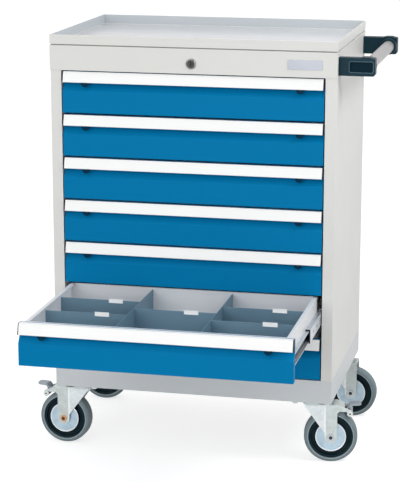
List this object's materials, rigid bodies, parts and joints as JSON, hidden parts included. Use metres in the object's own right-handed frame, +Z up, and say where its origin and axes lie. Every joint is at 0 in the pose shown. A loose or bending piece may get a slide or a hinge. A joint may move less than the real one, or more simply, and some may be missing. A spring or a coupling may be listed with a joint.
{
  "type": "drawer cabinet",
  "caption": "Mobile tool cabinet with drawers on telescopic slides, a top tray, a side push handle, a central lock and swivel casters with brake pedals.",
  "frame": {"origin": "on the floor, under the centre of the cabinet's body", "axes": "+Z up, +X to the right seen from the front, +Y to the back; the drawers open towards -Y"},
  "size_m": [0.8046, 0.81, 0.99],
  "materials": {
    "body_paint": "satin light grey powder coat",
    "tray_paint": "satin light grey powder coat",
    "blue_paint": "satin blue powder coat",
    "white_strip": "white coated aluminium section",
    "tub_paint": "satin light grey powder coat",
    "slide_steel": "bright zinc",
    "divider_steel": "blue grey galvanised sheet",
    "label_white": "clear holder with a blank card",
    "lock_metal": "nickel plated",
    "rod_steel": "zinc plated",
    "plate_silver": "bare brushed plate",
    "bracket_plastic": "dark green black moulded plastic",
    "tube_grey": "light grey coated tube",
    "fork_zinc": "zinc plated pressed steel",
    "core_black": "black moulded plastic",
    "tyre_grey": "grey rubber"
  },
  "bodies": {
    "cabinet": {"side_panel_left": "body_paint", "side_panel_right": "body_paint", "rear_panel": "body_paint", "floor_panel": "body_paint", "top_hood": "body_paint", "tray_top": "tray_paint", "base_frame": "body_paint", "cabinet_rails": "slide_steel", "name_plate": "plate_silver", "lock_housing": "lock_metal", "handle_brackets": "bracket_plastic", "handle_tube": "tube_grey", "caster_plates": "fork_zinc", "caster_bolts": "rod_steel"},
    "lock_cylinder": {"lock_cylinder": "lock_metal"},
    "lock_bar": {"lock_bar": "rod_steel"},
    "drawer_1": {"drawer_1_box": "tub_paint", "drawer_1_front": "blue_paint", "drawer_1_grip_strip": "white_strip"},
    "drawer_1_mid_rails": {"drawer_1_mid_rails": "slide_steel"},
    "drawer_2": {"drawer_2_box": "tub_paint", "drawer_2_front": "blue_paint", "drawer_2_grip_strip": "white_strip"},
    "drawer_2_mid_rails": {"drawer_2_mid_rails": "slide_steel"},
    "drawer_3": {"drawer_3_box": "tub_paint", "drawer_3_front": "blue_paint", "drawer_3_grip_strip": "white_strip"},
    "drawer_3_mid_rails": {"drawer_3_mid_rails": "slide_steel"},
    "drawer_4": {"drawer_4_box": "tub_paint", "drawer_4_front": "blue_paint", "drawer_4_grip_strip": "white_strip"},
    "drawer_4_mid_rails": {"drawer_4_mid_rails": "slide_steel"},
    "drawer_5": {"drawer_5_box": "tub_paint", "drawer_5_front": "blue_paint", "drawer_5_grip_strip": "white_strip"},
    "drawer_5_mid_rails": {"drawer_5_mid_rails": "slide_steel"},
    "drawer_6": {"drawer_6_box": "tub_paint", "drawer_6_front": "blue_paint", "drawer_6_grip_strip": "white_strip", "drawer_6_dividers": "divider_steel", "drawer_6_label_holders": "label_white"},
    "drawer_6_mid_rails": {"drawer_6_mid_rails": "slide_steel"},
    "drawer_7": {"drawer_7_box": "tub_paint", "drawer_7_front": "blue_paint", "drawer_7_grip_strip": "white_strip"},
    "drawer_7_mid_rails": {"drawer_7_mid_rails": "slide_steel"},
    "caster_front_left_fork": {"caster_front_left_fork": "fork_zinc"},
    "caster_front_left_wheel": {"caster_front_left_wheel": "core_black", "caster_front_left_tyre": "tyre_grey"},
    "brake_pedal_front_left": {"brake_pedal_front_left": "fork_zinc"},
    "caster_front_right_fork": {"caster_front_right_fork": "fork_zinc"},
    "caster_front_right_wheel": {"caster_front_right_wheel": "core_black", "caster_front_right_tyre": "tyre_grey"},
    "brake_pedal_front_right": {"brake_pedal_front_right": "fork_zinc"},
    "caster_rear_left_fork": {"caster_rear_left_fork": "fork_zinc"},
    "caster_rear_left_wheel": {"caster_rear_left_wheel": "core_black", "caster_rear_left_tyre": "tyre_grey"},
    "caster_rear_right_fork": {"caster_rear_right_fork": "fork_zinc"},
    "caster_rear_right_wheel": {"caster_rear_right_wheel": "core_black", "caster_rear_right_tyre": "tyre_grey"}
  },
  "joints": [
    {"name": "drawer_1_slide", "type": "slide", "parent": "cabinet", "child": "drawer_1", "axis": [0, -1, 0], "range_m": [0, 0.355]},
    {"name": "drawer_1_mid_rail_slide", "type": "slide", "parent": "cabinet", "child": "drawer_1_mid_rails", "axis": [0, -1, 0], "range_m": [0, 0.1775]},
    {"name": "drawer_2_slide", "type": "slide", "parent": "cabinet", "child": "drawer_2", "axis": [0, -1, 0], "range_m": [0, 0.355]},
    {"name": "drawer_2_mid_rail_slide", "type": "slide", "parent": "cabinet", "child": "drawer_2_mid_rails", "axis": [0, -1, 0], "range_m": [0, 0.1775]},
    {"name": "drawer_3_slide", "type": "slide", "parent": "cabinet", "child": "drawer_3", "axis": [0, -1, 0], "range_m": [0, 0.355]},
    {"name": "drawer_3_mid_rail_slide", "type": "slide", "parent": "cabinet", "child": "drawer_3_mid_rails", "axis": [0, -1, 0], "range_m": [0, 0.1775]},
    {"name": "drawer_4_slide", "type": "slide", "parent": "cabinet", "child": "drawer_4", "axis": [0, -1, 0], "range_m": [0, 0.355]},
    {"name": "drawer_4_mid_rail_slide", "type": "slide", "parent": "cabinet", "child": "drawer_4_mid_rails", "axis": [0, -1, 0], "range_m": [0, 0.1775]},
    {"name": "drawer_5_slide", "type": "slide", "parent": "cabinet", "child": "drawer_5", "axis": [0, -1, 0], "range_m": [0, 0.355]},
    {"name": "drawer_5_mid_rail_slide", "type": "slide", "parent": "cabinet", "child": "drawer_5_mid_rails", "axis": [0, -1, 0], "range_m": [0, 0.1775]},
    {"name": "drawer_6_slide", "type": "slide", "parent": "cabinet", "child": "drawer_6", "axis": [0, -1, 0], "range_m": [-0.355, 0]},
    {"name": "drawer_6_mid_rail_slide", "type": "slide", "parent": "cabinet", "child": "drawer_6_mid_rails", "axis": [0, -1, 0], "range_m": [-0.1775, 0]},
    {"name": "drawer_7_slide", "type": "slide", "parent": "cabinet", "child": "drawer_7", "axis": [0, -1, 0], "range_m": [0, 0.355]},
    {"name": "drawer_7_mid_rail_slide", "type": "slide", "parent": "cabinet", "child": "drawer_7_mid_rails", "axis": [0, -1, 0], "range_m": [0, 0.1775]},
    {"name": "lock_turn", "type": "hinge", "parent": "cabinet", "child": "lock_cylinder", "pos_m": [0, -0.225, 0.932], "axis": [0, -1, 0], "range_deg": [0, 90]},
    {"name": "lock_bar_shift", "type": "slide", "parent": "cabinet", "child": "lock_bar", "axis": [-1, 0, 0], "range_m": [0, 0.012]},
    {"name": "caster_front_left_swivel", "type": "hinge", "parent": "cabinet", "child": "caster_front_left_fork", "pos_m": [-0.28, -0.175, 0.15], "axis": [0, 0, 1], "continuous": true},
    {"name": "caster_front_left_roll", "type": "hinge", "parent": "caster_front_left_fork", "child": "caster_front_left_wheel", "pos_m": [-0.3219, -0.17207, 0.0625], "axis": [0.0698, 0.9976, 0], "continuous": true},
    {"name": "brake_pedal_front_left", "type": "hinge", "parent": "caster_front_left_fork", "child": "brake_pedal_front_left", "pos_m": [-0.36579, -0.169, 0.121], "axis": [-0.0698, -0.9976, 0], "range_deg": [0, 15]},
    {"name": "caster_front_right_swivel", "type": "hinge", "parent": "cabinet", "child": "caster_front_right_fork", "pos_m": [0.28, -0.175, 0.15], "axis": [0, 0, 1], "continuous": true},
    {"name": "caster_front_right_roll", "type": "hinge", "parent": "caster_front_right_fork", "child": "caster_front_right_wheel", "pos_m": [0.32148, -0.16843, 0.0625], "axis": [-0.1564, 0.9877, 0], "continuous": true},
    {"name": "brake_pedal_front_right", "type": "hinge", "parent": "caster_front_right_fork", "child": "brake_pedal_front_right", "pos_m": [0.36494, -0.16155, 0.121], "axis": [-0.1564, 0.9877, 0], "range_deg": [0, 15]},
    {"name": "caster_rear_left_swivel", "type": "hinge", "parent": "cabinet", "child": "caster_rear_left_fork", "pos_m": [-0.28, 0.175, 0.15], "axis": [0, 0, 1], "continuous": true},
    {"name": "caster_rear_left_roll", "type": "hinge", "parent": "caster_rear_left_fork", "child": "caster_rear_left_wheel", "pos_m": [-0.322, 0.175, 0.0625], "axis": [0, 1, 0], "continuous": true},
    {"name": "caster_rear_right_swivel", "type": "hinge", "parent": "cabinet", "child": "caster_rear_right_fork", "pos_m": [0.28, 0.175, 0.15], "axis": [0, 0, 1], "continuous": true},
    {"name": "caster_rear_right_roll", "type": "hinge", "parent": "caster_rear_right_fork", "child": "caster_rear_right_wheel", "pos_m": [0.322, 0.175, 0.0625], "axis": [0, 1, 0], "continuous": true}
  ],
  "couplings": [
    {"joint": "drawer_1_mid_rail_slide", "follows": "drawer_1_slide", "ratio": 0.5},
    {"joint": "drawer_2_mid_rail_slide", "follows": "drawer_2_slide", "ratio": 0.5},
    {"joint": "drawer_3_mid_rail_slide", "follows": "drawer_3_slide", "ratio": 0.5},
    {"joint": "drawer_4_mid_rail_slide", "follows": "drawer_4_slide", "ratio": 0.5},
    {"joint": "drawer_5_mid_rail_slide", "follows": "drawer_5_slide", "ratio": 0.5},
    {"joint": "drawer_6_mid_rail_slide", "follows": "drawer_6_slide", "ratio": 0.5},
    {"joint": "drawer_7_mid_rail_slide", "follows": "drawer_7_slide", "ratio": 0.5},
    {"joint": "lock_turn", "follows": "lock_bar_shift", "rad_per_m": 130.9}
  ]
}
